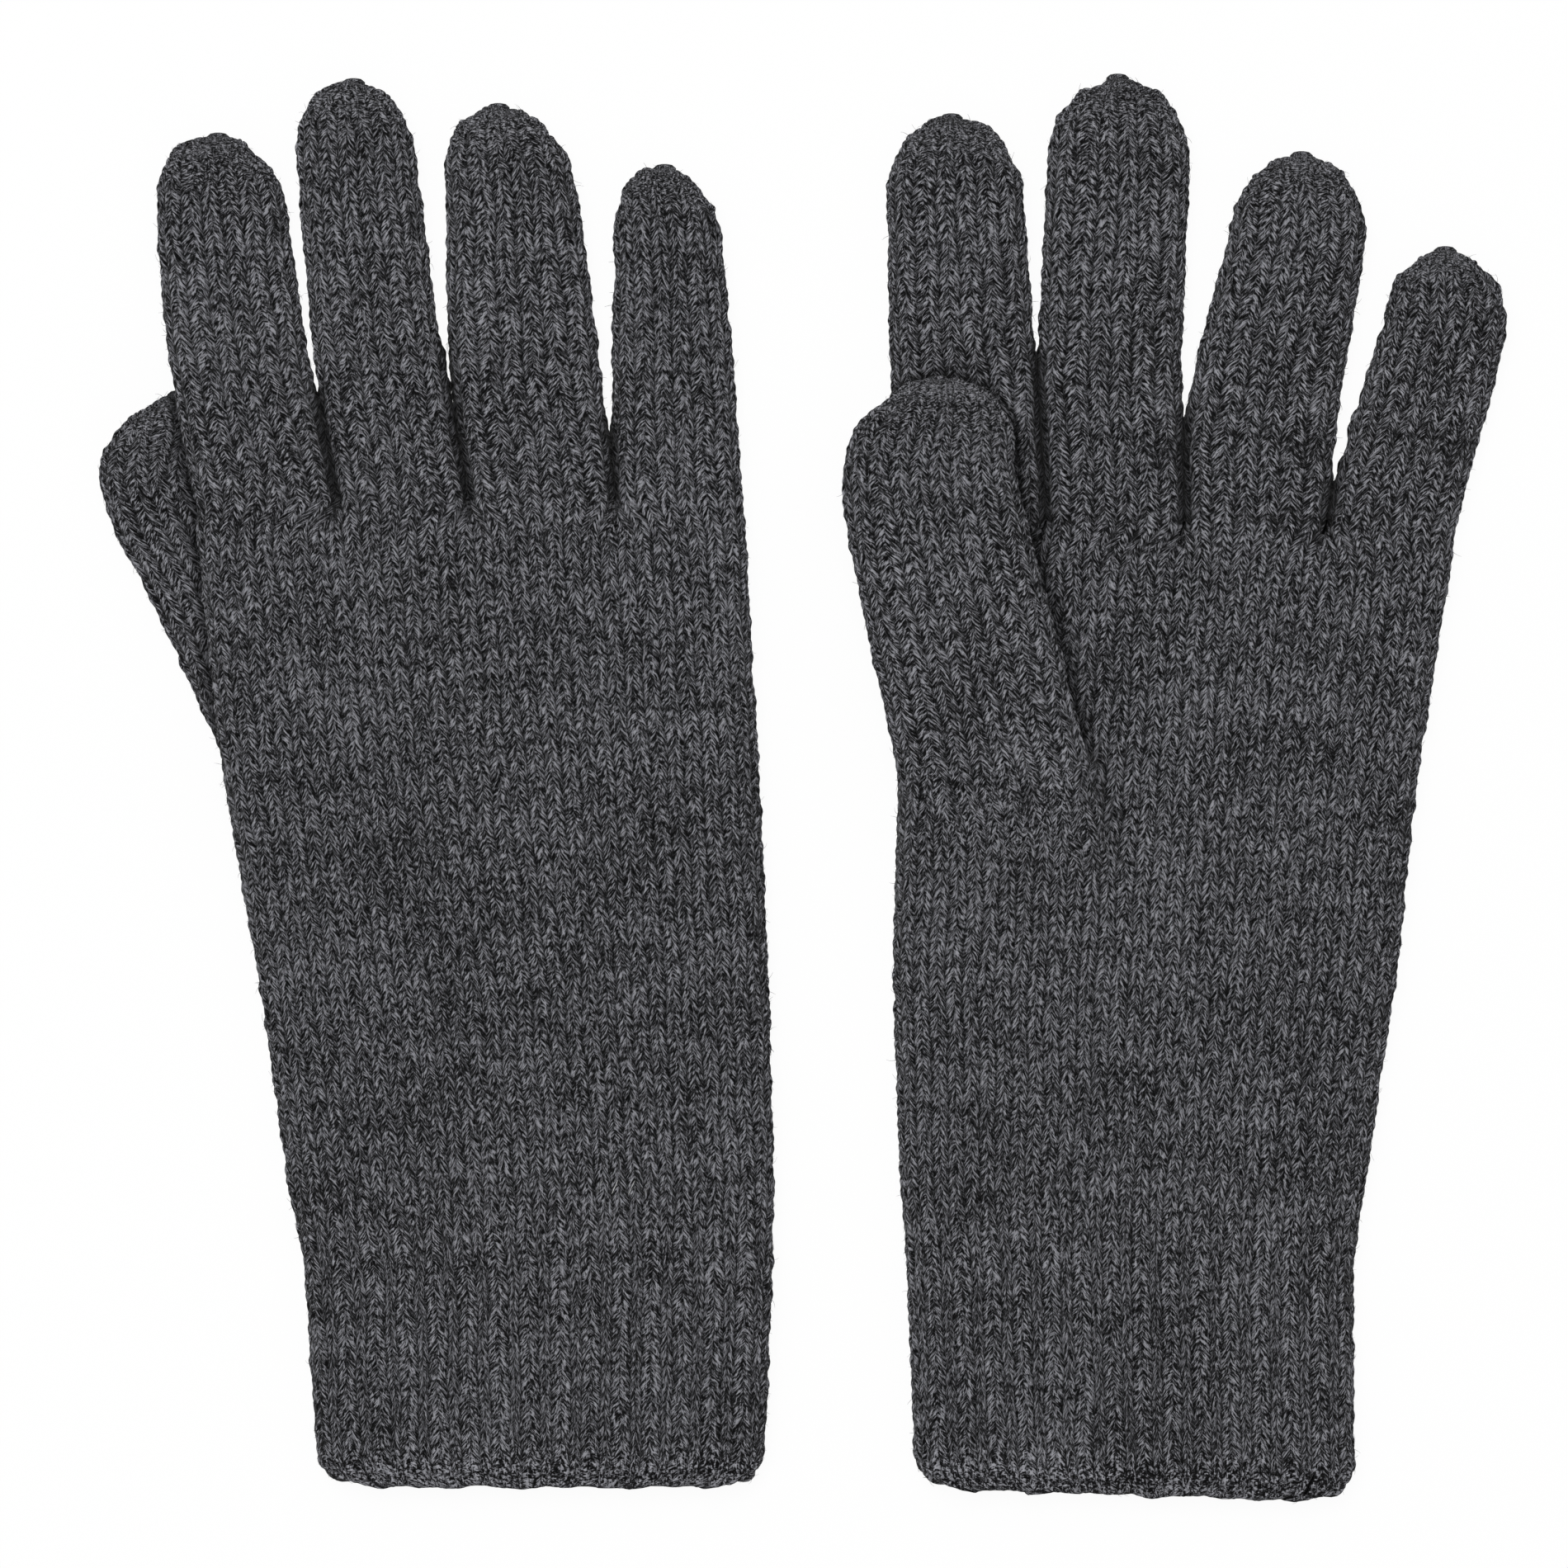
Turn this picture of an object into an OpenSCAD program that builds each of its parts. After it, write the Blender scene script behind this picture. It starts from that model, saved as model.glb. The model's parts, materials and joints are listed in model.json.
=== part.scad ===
// A pair of knitted gloves laid flat: the right-hand glove palm down, the left-hand glove palm up.
// X runs across the pair, +Y towards the fingertips, +Z up, and the lowest stitches lie on Z = 0.

/* [Fabric] */
// Thickness of one knitted wall
wall = 1.6; // [1.3:0.1:1.8]
// Overall thickness of the flattened hand and cuff
hand_h = 8.6; // [8.4:0.1:9.2]
// Overall thickness of a flattened finger
finger_h = 8.2; // [8:0.1:8.4]
// Overall thickness of the flattened thumb
thumb_h = 8; // [7.8:0.1:8.4]
// Clearance between pieces that move on each other
slack = 0.3; // [0.2:0.05:0.4]

/* [Cuff] */
// Where the ribbed cuff meets the hand
wrist_y = -76; // [-80:1:-70]
// Lower edge of the cuff
cuff_y = -131.4; // [-133:0.2:-128]
// Height of the thick hem band
hem_h = 5.4; // [4:0.2:7]
// How far the hem stands out from the cuff
hem_out = 0.5; // [0.3:0.1:0.8]
// Number of elastic threads laid into the cuff
elastic_count = 4; // [2:1:5]
// Distance between elastic threads
elastic_pitch = 11; // [8:1:12]

/* [Thumb] */
// Where the thumb leaves the hand
thumb_y = 7; // [4:1:10]
// Length over which the gusset rises to the thumb
gusset_len = 42; // [34:1:46]
// Distance over which the hand drapes down beside the thumb that lies under it
drape = 25; // [20:1:30]

/* [Smoothness] */
// Segments of each rounded side
side_steps = 6; // [4:1:8]
// Longest step along a tube
step_y = 9; // [6:1:14]

/* [Hidden] */

edge_r = 4;
arc_a = [for (k = [0 : side_steps]) -90 + 180 * k / side_steps];
cap_t = [0, 0.34, 0.6, 0.79, 0.91, 0.975];
// Section of an elastic thread, the channel round it, and the place of the thread nearest the wrist
elastic_th = 0.5;
elastic_w = 1;
elastic_start = 8;
elastic_gap = 0.05;
channel_in = 0.95;
channel_w = 1.2;
channel_mouth = 2;
// Curve of the joint line at the wrist, run-in below it, and end of the drape past the thumb's tip
notch = 1.9;
wrist_run = 6;
drape_end = 100;
thumb_top = slack + thumb_h;
// A finger lies in the middle of the hand's thickness
finger_low = (hand_h - finger_h) / 2;
finger_high = (hand_h + finger_h) / 2;
// Step that keeps the gusset clear of the palm where it has no height
gusset_min = 0.02;
// Line about which the lower end of the sloping cuff is sheared, and the length that is sheared
shear_x = 63;
shear_len = 55;

// Each glove: facing, slope of the hem, edges of cuff and hand as [y, left x, right x],
// inner edge line of the thumb as [y, x], level of the finger forks, then its five digits.
FACE = 0;
SLOPE = 1;
EDGES = 2;
RIDGE = 3;
FORK = 4;
// A digit holds its edges as [y, left x, right x], the last row being where its tip starts to round,
// then the place of its tip as [x, y], and the level of its middle joint.
ROWS = 0;
TIP = 1;
BEND = 2;

// Right-hand glove, palm down, thumb under the hand
right_glove = [-1, 0,
    [[-132, -90.2, -7.4], [-76, -95.9, -5.3], [-34, -102.1, -6.4], [3, -108.3, -8.2], [54.5, -113.6, -11]],
    [[-40, -72], [7, -76], [35, -86], [60, -98], [75, -104]],
    54.5];
right_index = [[[54.5, -113.6, -87], [85, -119.4, -93], [104, -121.2, -96]], [-109.4, 123.2], 86];
right_middle = [[[54.5, -87, -62.5], [78, -91.2, -67], [94, -93, -69.2], [118, -95, -72.2]], [-83.9, 133], 90];
right_ring = [[[54.5, -62.5, -35], [88, -66.8, -38.6], [110, -66.8, -41.6]], [-57, 128.7], 88];
right_little = [[[54.5, -35, -11], [76, -35.8, -12.4], [102, -35.2, -14.6]], [-25.7, 117], 82];
right_thumb = [[[7, -109, -76], [35, -121.9, -86], [50, -130.2, -94], [58, -132.3, -98]], [-117.5, 74.6], 40];

// Left-hand glove, palm up, thumb lying on the palm
left_glove = [1, -0.038,
    [[-132, 21.7, 103.6], [-76, 18.9, 105.4], [-34, 17.2, 111.8], [3, 18.4, 115.5], [50, 17.7, 123.2]],
    [[-40, 50], [7, 53.4], [34, 46.6], [60, 40]],
    50];
left_index = [[[50, 17.7, 46], [85, 16.4, 43.8], [110, 15.9, 41.9]], [28.1, 126.8], 89];
left_middle = [[[50, 46, 71.9], [82, 44.2, 71.5], [117, 46, 73.1]], [59.5, 133.8], 90];
left_ring = [[[50, 71.9, 98.6], [72.5, 71.9, 101.2], [94, 77.2, 104.8], [104, 80.2, 106.2]], [94.1, 119.4], 82];
left_little = [[[50, 98.6, 123.2], [63, 101.5, 126.4], [82, 107.3, 132], [88, 109.3, 132.6]], [120.7, 102], 75];
left_thumb = [[[7, 17, 53.4], [34, 11.2, 46.6], [55, 7.2, 41], [61, 7.6, 39.8]], [25.4, 77.4], 42];

// Soft step from 0 to 1
function smooth(t) = let (c = min(1, max(0, t))) c * c * (3 - 2 * c);

// Value in column c of a table of rows that starts with y
function along(rows, y, c) = lookup(y, [for (r = rows) [r[0], r[c]]]);

// Height that the thumb below lends to the palm-down hand at (x, y)
function lift(g, x, y) = thumb_top * smooth(1 - (x - along(g[RIDGE], y, 1)) / drape)
    * smooth(1 - (thumb_y - y) / gusset_len) * smooth((drape_end - y) / drape);

// Place in the world of a point at height w above the back of the hand
function place(g, x, y, w) = [x, y, g[FACE] > 0 ? w : lift(g, x, y) + hand_h - w];

// Shear that slopes the lower end of the cuff
function hem_shear(g, x, y) = g[SLOPE] * (x - shear_x) * min(1, max(0, (wrist_y - y) / shear_len));

// Height of the gusset on the palm side
function gusset(y) = thumb_top * smooth(1 - (thumb_y - y) / gusset_len);

// Closed ring across a tube at y: rounded sides and flat faces between heights w0 and w1,
// drawn in by t on every side, and shifted along the tube by v at both faces
function ring(g, y, x0, x1, w0, w1, t, n, v = 0) = let (
    e = edge_r,
    m = (w0 + w1) / 2,
    h = (w1 - w0) / 2 - t,
    pts = concat(
        [for (a = arc_a) [x1 - e + (e - t) * cos(a), m + h * sin(a)]],
        [for (k = [1 : n - 1]) [x1 - e + (x0 - x1 + 2 * e) * k / n, m + h]],
        [for (a = arc_a) [x0 + e - (e - t) * cos(a), m - h * sin(a)]],
        [for (k = [1 : n - 1]) [x0 + e + (x1 - x0 - 2 * e) * k / n, m - h]]))
    [for (p = pts) place(g, p[0], y + v * abs(p[1] - m) / (hand_h / 2) + hem_shear(g, p[0], y), p[1])];

// Ring of the lower hand: as ring(), with the gusset standing out of the palm side at the thumb's side
function stepped_ring(g, y, x0, x1, t, n, v = 0) = let (
    e = edge_r,
    r = along(g[RIDGE], y, 1),
    up = gusset(y) + gusset_min,
    h0 = (hand_h + up) / 2,
    m = hand_h / 2,
    pts = concat(
        [for (a = arc_a) [x1 - e + (e - t) * cos(a), m + (m - t) * sin(a)]],
        [for (k = [1 : n]) [x1 - e + (r - t + e - x1) * k / n, hand_h - t]],
        [for (k = [0 : n - 1]) [r - t + (x0 + e - r + t) * k / n, hand_h + up - t]],
        [for (a = arc_a) [x0 + e - (e - t) * cos(a), h0 - (h0 - t) * sin(a)]],
        [for (k = [1 : 2 * n]) [x0 + e + (x1 - x0 - 2 * e) * k / (2 * n + 1), t]]))
    [for (p = pts) place(g, p[0], y + v * abs(p[1] - m) / (hand_h / 2), p[1])];

// Levels from y0 to y1 in even steps no longer than step_y
function levels(y0, y1) = let (n = max(1, ceil((y1 - y0) / step_y))) [for (k = [0 : n]) y0 + (y1 - y0) * k / n];

// Quads, as pairs of triangles, between the rings that start at points a and b, each n points long
function band(a, b, n) = [for (k = [0 : n - 1]) let (j = (k + 1) % n)
    each [[a + k, b + k, b + j], [a + k, b + j, a + j]]];

// Mean of the points of a ring
function centre(r) = [for (k = [0 : 2]) [for (p = r) p[k]] * [for (p = r) 1] / len(r)];

// Knitted shell between outer and inner stacks of rings, open at both ends or closed at the far one
module shell(outer, inner, closed = false) {
    n = len(outer[0]);
    c = len(outer);
    inner_at = c * n;
    tip_out = 2 * inner_at;
    tip_in = tip_out + 1;
    points = concat([for (r = concat(outer, inner)) each r], [centre(outer[c - 1]), centre(inner[c - 1])]);
    walls = [for (k = [0 : c - 2]) each concat(
        band(k * n, (k + 1) * n, n),
        band(inner_at + (k + 1) * n, inner_at + k * n, n))];
    near = band(inner_at, 0, n);
    last_out = (c - 1) * n;
    last_in = inner_at + last_out;
    far = closed
        ? [for (k = [0 : n - 1]) let (j = (k + 1) % n) each [
            [tip_out, last_out + j, last_out + k],
            [tip_in, last_in + k, last_in + j]]]
        : band(last_out, last_in, n);
    used = closed ? points : [for (k = [0 : tip_out - 1]) points[k]];
    polyhedron(used, concat(walls, near, far), convexity = 6);
}

// Straight stretch of a digit between levels y0 and y1
module digit_tube(g, d, y0, y1, w0, w1) {
    rings = [for (t = [0, wall]) [for (y = levels(y0, y1))
        ring(g, y, along(d[ROWS], y, 1) + slack, along(d[ROWS], y, 2) - slack, w0, w1, t, 3)]];
    shell(rings[0], rings[1]);
}

// Gathered tip of a digit, closed to a rounded end
module digit_tip(g, d, w0, w1) {
    last = d[ROWS][len(d[ROWS]) - 1];
    y0 = last[0];
    half = (last[2] - last[1]) / 2 - slack;
    mid = (last[2] + last[1]) / 2;
    m = (w0 + w1) / 2;
    rings = [for (t = [0, wall]) [for (s = cap_t) let (
        y = y0 + (d[TIP][1] - t - y0) * s,
        f = pow(1 - pow(s, 2.3), 1 / 2.3),
        x = mid + (d[TIP][0] - mid) * s,
        a = max(edge_r + 0.2, (half - t) * f),
        h = ((w1 - w0) / 2 - t) * pow(1 - pow(s, 3), 1 / 3))
        ring(g, y, x - a - t, x + a + t, m - h - t, m + h + t, t, 3)]];
    shell(rings[0], rings[1], closed = true);
}

// Straight stretch of the hand between two levels
module hand_tube(g, y0, y1) {
    rings = [for (t = [0, wall]) [for (y = levels(y0, y1))
        ring(g, y, along(g[EDGES], y, 1), along(g[EDGES], y, 2), 0, hand_h, t, 12)]];
    shell(rings[0], rings[1]);
}

// Thick band at the lower end of the cuff, standing out on every side but the one it lies on
module hem(g) {
    y1 = cuff_y + hem_h;
    w0 = g[FACE] < 0 ? -hem_out : 0;
    stack = [[cuff_y, 0.6], [cuff_y + 1.2, 0], [y1 - 1, 0], [y1, 0.3]];
    rings = [for (t = [0, 1]) [for (s = stack) let (y = s[0])
        ring(g, y, along(g[EDGES], y, 1) - hem_out, along(g[EDGES], y, 2) + hem_out,
            w0, w0 + hand_h + hem_out, t == 0 ? s[1] : wall + 0.2, 6)]];
    shell(rings[0], rings[1]);
}

// Level of an elastic thread, counted down from the wrist
function elastic_y(k) = wrist_y - elastic_start - k * elastic_pitch;

// Ribbed cuff, with a channel inside for each elastic thread
module cuff(g) {
    bottom = cuff_y + hem_h;
    top = wrist_y - slack / 2;
    channels = [for (k = [elastic_count - 1 : -1 : 0]) let (
        y = elastic_y(k), a = channel_w / 2, b = channel_mouth / 2)
        each [[y - b, wall], [y - a, channel_in], [y + a, channel_in], [y + b, wall]]];
    stack = concat([[bottom, wall]], channels, [[top, wall]]);
    c = len(stack) - 1;
    outer = [for (k = [0 : c]) let (y = stack[k][0])
        ring(g, y, along(g[EDGES], y, 1), along(g[EDGES], y, 2), 0, hand_h, 0, 6, k == c ? -notch : 0)];
    inner = [for (k = [0 : c]) let (y = stack[k][0])
        ring(g, y, along(g[EDGES], y, 1), along(g[EDGES], y, 2), 0, hand_h, stack[k][1], 6,
            k == c ? -notch : 0)];
    shell(outer, inner);
}

// Elastic threads that lie in the channels of the cuff
module elastics(g) {
    for (k = [0 : elastic_count - 1]) {
        y = elastic_y(k);
        x0 = along(g[EDGES], y, 1);
        x1 = along(g[EDGES], y, 2);
        rings = [for (t = [wall - elastic_th - elastic_gap, wall - elastic_gap]) [for (s = [-0.5, 0.5])
            ring(g, y + s * elastic_w, x0, x1, 0, hand_h, t, 6)]];
        shell(rings[0], rings[1]);
    }
}

// Lower hand from the wrist to the foot of the thumb, with the thumb's gusset
module lower_hand(g) {
    start = wrist_y + slack / 2;
    ys = concat([start], levels(start + wrist_run, thumb_y - slack / 2));
    rings = [for (t = [0, wall]) [for (y = ys)
        stepped_ring(g, y, along(g[EDGES], y, 1), along(g[EDGES], y, 2), t, 6, y == start ? notch : 0)]];
    shell(rings[0], rings[1]);
}

// Upper hand from the foot of the thumb to the finger forks
module upper_hand(g) {
    hand_tube(g, thumb_y - slack / 2, g[FORK] - slack / 2);
}

module finger_base(g, d) {
    digit_tube(g, d, g[FORK] + slack / 2, d[BEND] - slack / 2, finger_low, finger_high);
}

module finger_end(g, d) {
    rows = d[ROWS];
    digit_tube(g, d, d[BEND] + slack / 2, rows[len(rows) - 1][0], finger_low, finger_high);
}

module finger_tip(g, d) {
    digit_tip(g, d, finger_low, finger_high);
}

module thumb_base(g, d) {
    digit_tube(g, d, thumb_y + slack / 2, d[BEND] - slack / 2, hand_h + slack, hand_h + thumb_top);
}

module thumb_end(g, d) {
    rows = d[ROWS];
    digit_tube(g, d, d[BEND] + slack / 2, rows[len(rows) - 1][0], hand_h + slack, hand_h + thumb_top);
}

module thumb_tip(g, d) {
    digit_tip(g, d, hand_h + slack, hand_h + thumb_top);
}

yarn = "#47474b";
yarn_rib = "#3f3f43";
yarn_hem = "#38383b";
yarn_tip = "#4d4d52";
rubber = "#1c1c1e";

module right_cuff() { color(yarn_rib) cuff(right_glove); }
module right_hem() { color(yarn_hem) hem(right_glove); }
module right_elastics() { color(rubber) elastics(right_glove); }
module right_lower_hand() { color(yarn) lower_hand(right_glove); }
module right_upper_hand() { color(yarn) upper_hand(right_glove); }
module right_index_base() { color(yarn) finger_base(right_glove, right_index); }
module right_index_end() { color(yarn) finger_end(right_glove, right_index); }
module right_index_tip() { color(yarn_tip) finger_tip(right_glove, right_index); }
module right_middle_base() { color(yarn) finger_base(right_glove, right_middle); }
module right_middle_end() { color(yarn) finger_end(right_glove, right_middle); }
module right_middle_tip() { color(yarn_tip) finger_tip(right_glove, right_middle); }
module right_ring_base() { color(yarn) finger_base(right_glove, right_ring); }
module right_ring_end() { color(yarn) finger_end(right_glove, right_ring); }
module right_ring_tip() { color(yarn_tip) finger_tip(right_glove, right_ring); }
module right_little_base() { color(yarn) finger_base(right_glove, right_little); }
module right_little_end() { color(yarn) finger_end(right_glove, right_little); }
module right_little_tip() { color(yarn_tip) finger_tip(right_glove, right_little); }
module right_thumb_base() { color(yarn) thumb_base(right_glove, right_thumb); }
module right_thumb_end() { color(yarn) thumb_end(right_glove, right_thumb); }
module right_thumb_tip() { color(yarn_tip) thumb_tip(right_glove, right_thumb); }

module left_cuff() { color(yarn_rib) cuff(left_glove); }
module left_hem() { color(yarn_hem) hem(left_glove); }
module left_elastics() { color(rubber) elastics(left_glove); }
module left_lower_hand() { color(yarn) lower_hand(left_glove); }
module left_upper_hand() { color(yarn) upper_hand(left_glove); }
module left_index_base() { color(yarn) finger_base(left_glove, left_index); }
module left_index_end() { color(yarn) finger_end(left_glove, left_index); }
module left_index_tip() { color(yarn_tip) finger_tip(left_glove, left_index); }
module left_middle_base() { color(yarn) finger_base(left_glove, left_middle); }
module left_middle_end() { color(yarn) finger_end(left_glove, left_middle); }
module left_middle_tip() { color(yarn_tip) finger_tip(left_glove, left_middle); }
module left_ring_base() { color(yarn) finger_base(left_glove, left_ring); }
module left_ring_end() { color(yarn) finger_end(left_glove, left_ring); }
module left_ring_tip() { color(yarn_tip) finger_tip(left_glove, left_ring); }
module left_little_base() { color(yarn) finger_base(left_glove, left_little); }
module left_little_end() { color(yarn) finger_end(left_glove, left_little); }
module left_little_tip() { color(yarn_tip) finger_tip(left_glove, left_little); }
module left_thumb_base() { color(yarn) thumb_base(left_glove, left_thumb); }
module left_thumb_end() { color(yarn) thumb_end(left_glove, left_thumb); }
module left_thumb_tip() { color(yarn_tip) thumb_tip(left_glove, left_thumb); }

right_cuff();
right_hem();
right_elastics();
right_lower_hand();
right_upper_hand();
right_index_base();
right_index_end();
right_index_tip();
right_middle_base();
right_middle_end();
right_middle_tip();
right_ring_base();
right_ring_end();
right_ring_tip();
right_little_base();
right_little_end();
right_little_tip();
right_thumb_base();
right_thumb_end();
right_thumb_tip();
left_cuff();
left_hem();
left_elastics();
left_lower_hand();
left_upper_hand();
left_index_base();
left_index_end();
left_index_tip();
left_middle_base();
left_middle_end();
left_middle_tip();
left_ring_base();
left_ring_end();
left_ring_tip();
left_little_base();
left_little_end();
left_little_tip();
left_thumb_base();
left_thumb_end();
left_thumb_tip();
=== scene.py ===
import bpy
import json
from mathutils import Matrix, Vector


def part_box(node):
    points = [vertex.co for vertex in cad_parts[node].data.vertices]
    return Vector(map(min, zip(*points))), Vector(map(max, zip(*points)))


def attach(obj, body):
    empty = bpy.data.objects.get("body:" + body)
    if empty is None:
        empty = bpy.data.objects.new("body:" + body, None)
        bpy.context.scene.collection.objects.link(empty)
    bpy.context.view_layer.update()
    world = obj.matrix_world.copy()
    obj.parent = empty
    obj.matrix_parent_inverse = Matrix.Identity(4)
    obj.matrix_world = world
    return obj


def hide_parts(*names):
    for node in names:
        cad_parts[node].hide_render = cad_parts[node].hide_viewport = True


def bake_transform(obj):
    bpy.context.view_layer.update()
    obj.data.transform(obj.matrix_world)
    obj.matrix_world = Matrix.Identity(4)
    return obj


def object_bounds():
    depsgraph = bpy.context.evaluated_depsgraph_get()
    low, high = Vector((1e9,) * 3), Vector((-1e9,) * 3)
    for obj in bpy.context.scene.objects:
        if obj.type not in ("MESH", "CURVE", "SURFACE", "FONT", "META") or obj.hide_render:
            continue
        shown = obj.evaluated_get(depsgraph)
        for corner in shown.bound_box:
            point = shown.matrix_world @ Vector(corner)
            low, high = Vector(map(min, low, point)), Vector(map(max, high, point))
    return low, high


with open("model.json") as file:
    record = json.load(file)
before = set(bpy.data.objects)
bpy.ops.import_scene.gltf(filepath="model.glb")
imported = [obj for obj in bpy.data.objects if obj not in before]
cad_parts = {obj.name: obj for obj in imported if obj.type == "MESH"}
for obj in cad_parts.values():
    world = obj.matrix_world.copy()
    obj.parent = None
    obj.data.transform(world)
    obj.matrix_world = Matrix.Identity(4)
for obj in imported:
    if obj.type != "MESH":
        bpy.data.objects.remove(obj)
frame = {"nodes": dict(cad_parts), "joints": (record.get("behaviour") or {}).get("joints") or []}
cadBox = [list(corner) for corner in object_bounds()]

import json

import bpy
import numpy as np
from mathutils import Vector

# A pair of charcoal heather gloves in plain knit with close-ribbed cuffs, laid flat.
# Lengths are in millimetres until a mesh is made. Every surface is a grid of stitches: u counts wales round
# a tube from its left edge over the upper side, and v counts courses towards the fingertips.
mm = 0.001
seed = 20

# The knit: each wale has two legs a course, which climb from the wale's edges to meet in its middle.
# The grid's rows climb with them, so every leg keeps the same grid lines over its round back.
knit = {
    "samplesAcross": 8, "samplesAlong": 5, "climb": 1.4, "relief": 0.8, "unevenness": 0.4, "stray": 0.2,
    "wander": 0.12, "wall": 1.8, "liningStep": 25, "letOut": 0.45,
    "crinkle": 0.1, "tipCrinkle": 0.3,
}
# A glove's shoulders are the powers that round the left and right of each tip: higher is squarer.
# closes is where each gap between two fingers ends, bottom the level of the hem's edge, and draws the numbers
# that start the random draws of its cloth and hairs.
gloves = [
    {"side": "right", "face": -1, "hemSlope": 0.0, "bottom": -130.6, "closes": (76, 85, 71),
     "shoulders": {"index": (2.9, 2.1), "middle": (2.7, 2.0), "ring": (2.3, 2.2), "little": (2.6, 1.9),
                   "thumb": (1.6, 2.2)},
     "draws": {"hand": 40, "handHairs": 2, "digits": 100, "cuff": 80, "cuffHairs": 4}},
    {"side": "left", "face": 1, "hemSlope": -0.03, "bottom": -132.2, "closes": (83, 72, 62),
     "shoulders": {"index": (2.0, 2.2), "middle": (2.1, 2.1), "ring": (2.2, 1.9), "little": (1.8, 1.8),
                   "thumb": (1.8, 2.2)},
     "draws": {"hand": 10, "handHairs": 1, "digits": 150, "cuff": 70, "cuffHairs": 3}},
]
fingerNames = ["index", "middle", "ring", "little"]


def nodeVertices(name):
    mesh = frame["nodes"][name].data
    flat = np.empty(len(mesh.vertices) * 3)
    mesh.vertices.foreach_get("co", flat)
    return flat.reshape(-1, 3) / mm


def jointPlace(name):
    return np.array(next(j for j in frame["joints"] if j["name"] == name)["pos_m"]) / mm


def boxOf(name):
    low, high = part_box(name)
    return np.array(low) / mm, np.array(high) / mm


def softStep(t):
    # 3t^2 - 2t^3 on t held between 0 and 1
    t = np.clip(t, 0, 1)
    return t * t * (3 - 2 * t)


def outline(names, lowest=-1e9, soften=9.0):
    # left and right edges by level: the lowest and highest x of each ring of the nodes,
    # resampled every half millimetre and averaged over a short stretch, so the edge is one soft curve
    points = np.vstack([nodeVertices(name) for name in names])
    points = points[points[:, 1] >= lowest]
    levels, place = np.unique(np.round(points[:, 1]), return_inverse=True)
    left = np.full(len(levels), 1e9)
    right = np.full(len(levels), -1e9)
    np.minimum.at(left, place, points[:, 0])
    np.maximum.at(right, place, points[:, 0])
    fine = np.arange(levels[0] - 20, levels[-1] + 20, 0.5)
    window = np.hanning(int(soften * 4) + 1)
    window /= window.sum()
    edges = []
    for side in (left, right):
        slopeLow = (side[1] - side[0]) / (levels[1] - levels[0])
        slopeHigh = (side[-1] - side[-2]) / (levels[-1] - levels[-2])
        run = np.interp(fine, levels, side)
        run += np.minimum(fine - levels[0], 0) * slopeLow + np.maximum(fine - levels[-1], 0) * slopeHigh
        pad = len(window) // 2
        run = np.convolve(np.pad(run, pad, mode="reflect", reflect_type="odd"), window, mode="valid")
        edges.append(run)
    return fine, edges[0], edges[1]


def edgesAt(shape, y):
    # edges of the cloth: the CAD outline, let out by what the relief and the gaps between digits take away
    return np.interp(y, shape[0], shape[1]) - knit["letOut"], np.interp(y, shape[0], shape[2]) + knit["letOut"]


def fingerEdges(glove, name, y):
    # a finger's edges, let out further below the level where it starts to press against its neighbour
    left, right = edgesAt(glove[name]["shape"], y)
    number = fingerNames.index(name)
    closes = (-1e3,) + glove["closes"] + (-1e3,)
    press = [finger["press"] * softStep((level + 2 - y) / 8) for level in closes[number:number + 2]]
    return left - press[0], right + press[1]


def section(turn, left, right, height, edge, middle):
    # Flattened tube: a straight top and bottom joined by half ellipses, edge wide, followed by arc length.
    # turn runs from 0 at the left edge over the palm side to 0.5 at the right edge, and back below.
    quarter = np.pi / 2 * np.sqrt((edge ** 2 + (height / 2) ** 2) / 2)
    flat = np.maximum(right - left - 2 * edge, 0)
    half = 2 * quarter + flat
    side = np.where(turn % 1 < 0.5, 1.0, -1.0)
    along = np.where(side > 0, turn % 1, 1 - turn % 1) * 2 * half
    near = np.minimum(along, half - along)
    angle = np.clip(near / quarter, 0, 1) * np.pi / 2
    inward = edge * (1 - np.cos(angle)) + np.maximum(near - quarter, 0)
    x = np.where(along < half / 2, left + inward, right - inward)
    return x, middle + side * height / 2 * np.sin(angle)


def ripple(u, v, wales, which):
    # slow unevenness of hand-laid cloth: a sum of waves that close round the tube
    rng = np.random.default_rng(seed + which)
    total = 0
    for _ in range(7):
        around = rng.integers(0, max(3, wales // 5))
        along = rng.uniform(0.05, 0.9)
        total = total + rng.uniform(0.4, 1) * np.sin(
            2 * np.pi * around * u / wales + along * v + rng.uniform(0, 6.28))
    return total / 3.5


def crinkle(x, y, which):
    # small dents of soft cloth: a sum of waves 4 to 11 mm long that cross the glove in different directions
    rng = np.random.default_rng(seed + 300 + which)
    total = 0
    for _ in range(6):
        turn, size, start = rng.uniform(0, np.pi), rng.uniform(4, 11), rng.uniform(0, 2 * np.pi)
        total = total + np.sin(2 * np.pi * (x * np.cos(turn) + y * np.sin(turn)) / size + start)
    return total / 2.5


def foldOf(u):
    # 0 at a wale's edge, rising evenly to 1 in its middle
    return 1 - np.abs(2 * (u % 1) - 1)


def legHeight(fold, q):
    # Round back of a leg, 0 to 1: a sine along its length times half an ellipse across it, wider at mid-length.
    # fold runs along the leg and q across it.
    leaf = np.sin(np.pi * (0.06 + 0.8 * fold))
    return leaf * np.sqrt(np.clip(1 - ((2 * q - 1) / (0.8 + 0.35 * leaf)) ** 2, 0, 1))


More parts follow.
